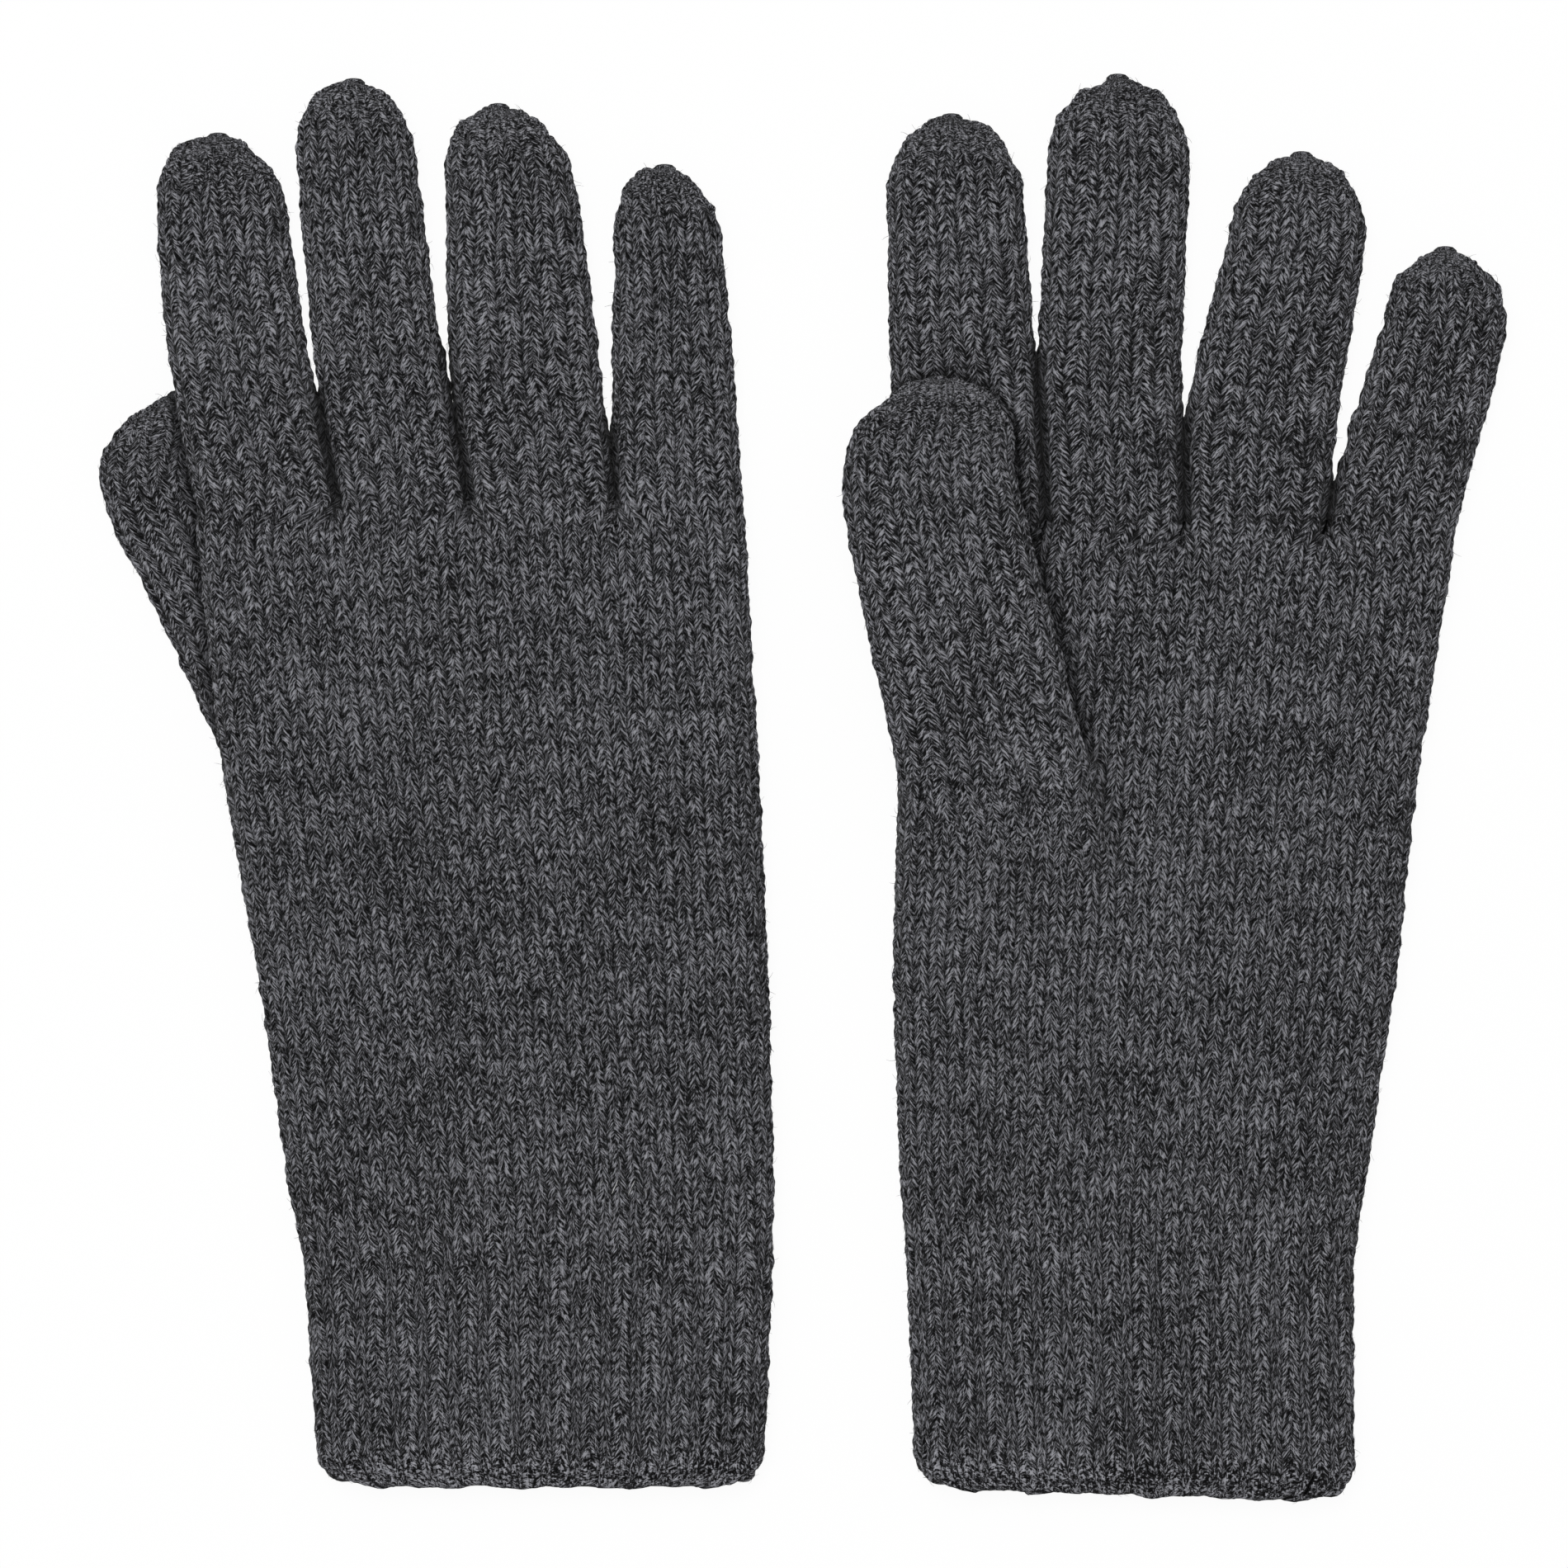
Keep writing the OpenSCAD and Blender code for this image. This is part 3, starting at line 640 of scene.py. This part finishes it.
def makeDigit(glove, digit, style, which):
    # A digit's tube from its root to its rounded tip, split where it bends and where the tip is gathered.
    # run is the distance along the tube; past capStart it turns into an angle that sweeps the cap to its pole.
    isThumb = digit["name"] == "thumb"
    wales, course = style["wales"], glove["course"]
    root = digit["start"] - (style["sunk"] if isThumb else 0)
    capLeft, capRight = edgesAt(digit["shape"], digit["capStart"])
    halfWide = (capRight - capLeft) / 2
    capLength = digit["tip"][1] - digit["capStart"]
    straight = digit["capStart"] - root
    capArc = 1.25 * np.hypot(capLength, halfWide)
    courses = int(round((straight + capArc) / course))
    u, p, fold = stitchGrid(wales, 0, courses)
    p = p[:-1]
    even = (straight + capArc) * p[:, None] / courses
    run = even + glove["climb"] * fold * (1 - softStep((even - straight) / capArc))
    angle = np.clip((run - straight) / capArc, 0, 1) * np.pi / 2
    s = np.sin(angle)
    y = np.where(run < straight, root + run, digit["capStart"] + capLength * s)
    middleX = (capLeft + capRight) / 2 + (digit["tip"][0] - (capLeft + capRight) / 2) * s
    narrow = [(1 - s ** power) ** (1 / power) for power in digit["shoulders"]]
    left, right = edgesAt(digit["shape"], y) if isThumb else fingerEdges(glove, digit["name"], y)
    left = np.where(run < straight, left, middleX - halfWide * narrow[0])
    right = np.where(run < straight, right, middleX + halfWide * narrow[1])
    tall = (1 - s ** 3) ** (1 / 3)
    height = (thumb["height"] if isThumb else glove["height"] - finger["slack"]) * tall
    edge = np.minimum(style["edge"], (right - left) / 2 - 0.01)
    calm = np.clip(p, 0, 1)[:, None] * np.ones(y.shape)
    if isThumb:
        risen = rampUp(glove, y)
        up = glove["height"] / 2 + thumb["gap"] + thumb["height"] / 2
        middle = glove["height"] / 2 + up * risen - 0.5 * (1 - risen)
    else:
        middle = glove["height"] / 2
    stray = knit["wander"] * calm * tall * ripple(u[None, :], p[:, None], wales, which + 4)
    turn = (u[None, :] + stray) / wales
    x, w = section(turn, left, right, height, edge, middle)
    settle = np.clip(p / 3, 0, 1)[:, None] * tall
    y = y + 0.3 * settle * ripple(u[None, :], p[:, None], wales, which + 5)
    w = w + 0.15 * settle * ripple(u[None, :], 0.5 * p[:, None], wales, which + 6)
    dent = knit["tipCrinkle"] * softStep(s / 0.5)
    x, y = x + dent * crinkle(x, y, which), y + dent * crinkle(x, y, which + 1)
    fade = np.clip(narrow[0] + narrow[1], 0.1, 2) / 2
    # the tip is drawn together in fourteen puckers, a squared sine round the cap
    puckers = np.sin(2 * np.pi * (turn * 7 + 0.13 * which)) ** 2
    gather = finger["pucker"] * softStep((s - 0.55) / 0.35) * fade * puckers
    cloth = clothe(glove, wales, u, p, x, y, w, which, calm, fade ** 0.6, gather)
    bendStart = digit["bend"] - finger["bendHalf"]
    bendRow = int(np.searchsorted(root + even[:, 0], bendStart - glove["climb"])) - 1
    capRow = int(np.searchsorted(even[:, 0], straight))
    side = glove["side"] + "_"
    stem = side + digit["name"]
    below, above, cap = slice(0, bendRow + 1), slice(bendRow, capRow + 1), slice(capRow, None)
    base = makePiece(stem + "_base_knit", cloth, below, False, plainYarn)
    end = makePiece(stem + "_end_knit", cloth, above, False, plainYarn)
    tip = makePiece(stem + "_tip_knit", cloth, cap, True, plainYarn)
    baseHairs = frayed(stem + "_base_hairs", cloth, below, plainYarn, which)
    endHairs = frayed(stem + "_end_hairs", cloth, slice(bendRow, None), plainYarn, which + 1)
    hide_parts(stem + "_base")
    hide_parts(stem + "_end")
    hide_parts(stem + "_tip")
    for piece in (base, baseHairs):
        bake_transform(piece)
    for piece in (end, endHairs):
        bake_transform(piece)
    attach(tip, stem + "_upper")
    makeKnot(glove, digit, cloth["outer"][-1].mean(0) - (0, knot["sunk"], 0))


def makeKnot(glove, digit, at):
    # the yarn's end drawn into a small knot at a fingertip: a ring of yarn with three lumps, closed both ways
    # and half sunk in the tip. It is a torus, 1.25 times as wide as deep.
    rings, sides = knot["rings"], knot["sides"]
    i, j = np.meshgrid(np.arange(rings), np.arange(sides), indexing="ij")
    a, b = 2 * np.pi * i / rings, 2 * np.pi * j / sides
    out = knot["ring"] + knot["yarn"] * np.cos(b) * (1 + 0.25 * np.sin(3 * a))
    points = at + np.stack([1.25 * out * np.cos(a), out * np.sin(a), knot["yarn"] * np.sin(b)], 2)
    i, j = i.ravel(), j.ravel()
    ci, cj = np.stack([i, i + 1, i + 1, i], 1), np.stack([j, j, j + 1, j + 1], 1)
    loops = (ci % rings * sides + cj % sides).ravel()
    starts = np.arange(0, len(loops), 4)
    coords = np.stack([cj.ravel() / sides, ci.ravel() / 3], 1)
    stem = glove["side"] + "_" + digit["name"]
    piece = addMesh(stem + "_tip_knot", points.reshape(-1, 3), loops, starts, coords, plainYarn)
    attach(piece, stem + "_upper")


def makeCuff(glove):
    # ribbed tube from the wrist down to the hem, its lower corners rounded off and its edge rolled in
    wales, courses = hand["wales"], rib["courses"]
    u, p, fold = stitchGrid(wales, -courses, 0)
    below = -p[:, None]
    calm = np.clip(below, 0, 1)
    low, high = glove["hem"]
    bottom = glove["bottom"]
    flat = softStep((courses - below) / 3)
    y = glove["wrist"] - (glove["wrist"] - bottom) * below / courses + glove["climb"] * fold * flat
    share = (glove["wrist"] - y) / (glove["wrist"] - bottom)
    rest = np.clip(rib["cornerRadius"] - (y - bottom), 0, rib["cornerRadius"])
    corner = rib["cornerRadius"] - np.sqrt(rib["cornerRadius"] ** 2 - rest ** 2)
    left, right = edgesAt(glove["edges"], y)
    hang = np.clip(share, 0, 1)
    left = left + (low[0] - edgesAt(glove["edges"], bottom)[0]) * hang + corner
    right = right + (high[0] - edgesAt(glove["edges"], bottom)[1]) * hang - corner
    swell = glove["height"] + rib["hemSwell"] * softStep(1 - (y - bottom - 1) / rib["hemHeight"])
    turn = (ribPlace(u[None, :], p[:, None])
            + knit["wander"] * calm * ripple(u[None, :], p[:, None], wales, 76)) / wales
    x, w = section(turn, left, right, swell, hand["edge"], glove["height"] / 2)
    w = w + glove["face"] * (swell - glove["height"]) / 2
    y = y + 0.4 * calm * ripple(u[None, :], 0.5 * p[:, None], wales, 77)
    y = y + rib["hemWave"] * softStep(share * 3 - 2) * ripple(2 * u[None, :], 0, wales, 79)
    w = w + 0.15 * calm * ripple(u[None, :], 0.4 * p[:, None], wales, 78)
    furrow = np.where(u % 2 >= 1, np.sin(np.pi * (u % 2 - 1)), 0)[None, :] * softStep(below / rib["setIn"])
    cloth = clothe(glove, wales, u, p, x, y, w, glove["draws"]["cuff"], calm, 1.0, rib["depth"] * furrow)
    roll = (1 - np.sqrt(1 - np.clip(1 - (y - bottom) / rib["rollIn"], 0, 1) ** 2))[:, :, None] * 0.5
    inward = (cloth["lining"] - cloth["outer"]) * roll
    cloth["outer"] = cloth["outer"] + inward
    cloth["lining"] = cloth["lining"] - inward
    piece = makePiece(glove["side"] + "_cuff_rib", cloth, slice(None), False, ribYarn)
    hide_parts(glove["side"] + "_cuff", glove["side"] + "_hem")
    fuzz = frayed(glove["side"] + "_cuff_hairs", cloth, slice(None), ribYarn,
                  glove["draws"]["cuffHairs"])
    for each in (piece, fuzz):
        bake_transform(each)


for glove in gloves:
    setUp(glove)
    makeHand(glove)
    for number, name in enumerate(fingerNames):
        makeDigit(glove, glove[name], finger, glove["draws"]["digits"] + 10 * number)
    makeDigit(glove, glove["thumb"], thumb, glove["draws"]["digits"] + 40)
    makeCuff(glove)
    node = frame["nodes"][glove["side"] + "_elastics"]
    node.data.materials.clear()
    node.data.materials.append(elasticThread)
    print(glove["side"], "glove made")

# painted shade: the height map's cell and spread, how fast the shade deepens with depth, and how dark the
# flanks and creases are painted
paintedShade = {"cell": 0.5, "spread": 5, "strength": 0.42, "flank": 0.62, "crease": 0.93, "creaseWidth": 1.4,
        "margin": 12, "emptyBelow": -8.0}


def creaseShade(x, y):
    # painted shade in the crease between two fingers that touch: a bell curve across it, from where their gap
    # closes to the fork
    dark = 0 * x
    for glove in gloves:
        for number, level in enumerate(glove["closes"]):
            before = fingerEdges(glove, fingerNames[number], y)
            after = fingerEdges(glove, fingerNames[number + 1], y)
            line = (before[1] + after[0]) / 2
            bell = np.exp(-((x - line) / paintedShade["creaseWidth"]) ** 2)
            ends = softStep((level + 3 - y) / 4) * softStep((y - glove["fork"] + 2) / 3)
            dark = np.maximum(dark, bell * ends)
    return 1 - paintedShade["crease"] * dark


def shadeHollows():
    # Painted shade: the colour is darkened where the wool lies low between its neighbours, standing in for the
    # shadow there. On each face of the gloves, a height map of all the pieces is smoothed, and a vertex's shade
    # falls off exponentially with its depth below that surface.
    # It also darkens towards the flanks, a painted shade where the surface turns from facing up to facing
    # sideways.
    meshes = [o for o in bpy.context.scene.objects if o.type == "MESH"]
    pieces = [o for o in meshes if o.data.materials[0] in (plainYarn, ribYarn)]
    low = np.array(cadBox[0]) / mm - paintedShade["margin"]
    size = ((np.array(cadBox[1]) / mm + paintedShade["margin"] - low)[:2] / paintedShade["cell"]).astype(int) + 2
    tops = [np.zeros(size), np.full(size, paintedShade["emptyBelow"])]
    corners = []
    for piece in pieces:
        mesh = piece.data
        flat = np.empty(len(mesh.vertices) * 3, np.float32)
        mesh.vertices.foreach_get("co", flat)
        points = flat.reshape(-1, 3) / mm
        turned = np.empty(len(mesh.vertices) * 3, np.float32)
        mesh.vertex_normals.foreach_get("vector", turned)
        cell = tuple(((points - low)[:, :2] / paintedShade["cell"]).astype(int).T)
        corners.append((points, turned.reshape(-1, 3)[:, 2], cell))
        np.maximum.at(tops[0], cell, points[:, 2])
        np.maximum.at(tops[1], cell, -points[:, 2])
    window = np.hanning(int(paintedShade["spread"] / paintedShade["cell"]) * 2 + 1)
    window /= window.sum()
    smooth = []
    for top in tops:
        along = np.apply_along_axis(np.convolve, 0, top, window, "same")
        smooth.append(np.apply_along_axis(np.convolve, 1, along, window, "same"))
    for piece, (points, facing, cell) in zip(pieces, corners):
        below = tops[0][cell] - points[:, 2] > tops[1][cell] + points[:, 2]
        depth = np.where(below, smooth[1][cell] + points[:, 2], smooth[0][cell] - points[:, 2])
        shade = np.exp(-paintedShade["strength"] * np.maximum(depth, 0))
        # painted shade on the flanks, darker where the surface faces sideways
        shade *= paintedShade["flank"] + (1 - paintedShade["flank"]) * softStep(np.abs(facing) * 1.15)
        # painted shade in the creases between the fingers
        shade *= creaseShade(points[:, 0], points[:, 1])
        piece.data.attributes.new("shade", "FLOAT", "POINT").data.foreach_set("value", shade.astype(np.float32))


shadeHollows()
print("hollows shaded")

stage = {
    "floorSize": 7.0, "floorGrey": 0.06, "floorGlow": 0.94, "world": 0.33,
    "keyPower": 26.5, "keySize": 1.3, "keyPlace": (-0.3, 0.45, 2.3),
    "cameraPlace": (-0.0033, 0.0012, 1.8), "sensor": 36.0, "reach": 1.795, "view": 0.2945,
}


def makeFloor():
    mesh = bpy.data.meshes.new("floor")
    s = stage["floorSize"] / 2
    mesh.from_pydata([(-s, -s, 0), (s, -s, 0), (s, s, 0), (-s, s, 0)], [], [(0, 1, 2, 3)])
    material = bpy.data.materials.new("floor")
    material.use_nodes = True
    shader = material.node_tree.nodes["Principled BSDF"]
    shader.inputs["Base Color"].default_value = (stage["floorGrey"],) * 3 + (1,)
    shader.inputs["Roughness"].default_value = 0.9
    shader.inputs["Emission Color"].default_value = (1, 1, 1, 1)
    shader.inputs["Emission Strength"].default_value = stage["floorGlow"]
    mesh.materials.append(material)
    floor = bpy.data.objects.new("floor", mesh)
    bpy.context.scene.collection.objects.link(floor)
    floor.visible_diffuse = False  # its glow must not light the gloves from below


def makeLights():
    world = bpy.data.worlds.new("studio")
    world.use_nodes = True
    world.node_tree.nodes["Background"].inputs[0].default_value = (1, 1, 1, 1)
    world.node_tree.nodes["Background"].inputs[1].default_value = stage["world"]
    bpy.context.scene.world = world
    light = bpy.data.lights.new("key", "AREA")
    light.energy = stage["keyPower"]
    light.size = stage["keySize"]
    lamp = bpy.data.objects.new("key", light)
    lamp.location = stage["keyPlace"]
    lamp.rotation_euler = (-Vector(stage["keyPlace"])).to_track_quat("-Z", "Y").to_euler()
    bpy.context.scene.collection.objects.link(lamp)


def makeCamera():
    camera = bpy.data.cameras.new("camera")
    camera.sensor_width = stage["sensor"]
    holder = bpy.data.objects.new("camera", camera)
    holder.location = stage["cameraPlace"]
    # the lens that spans the view's width at the height of the cloth
    camera.lens = stage["sensor"] * stage["reach"] / stage["view"]
    camera.clip_end = 20
    bpy.context.scene.collection.objects.link(holder)
    bpy.context.scene.camera = holder


makeFloor()
makeLights()
makeCamera()
bpy.context.scene.view_settings.view_transform = "Standard"
print("stage made")

triangles = {piece.name: len(piece.data.loops) - 2 * len(piece.data.polygons)
             for piece in bpy.context.scene.objects if piece.type == "MESH"}
print("triangles", sum(triangles.values()), "most", max(triangles.items(), key=lambda item: item[1]))
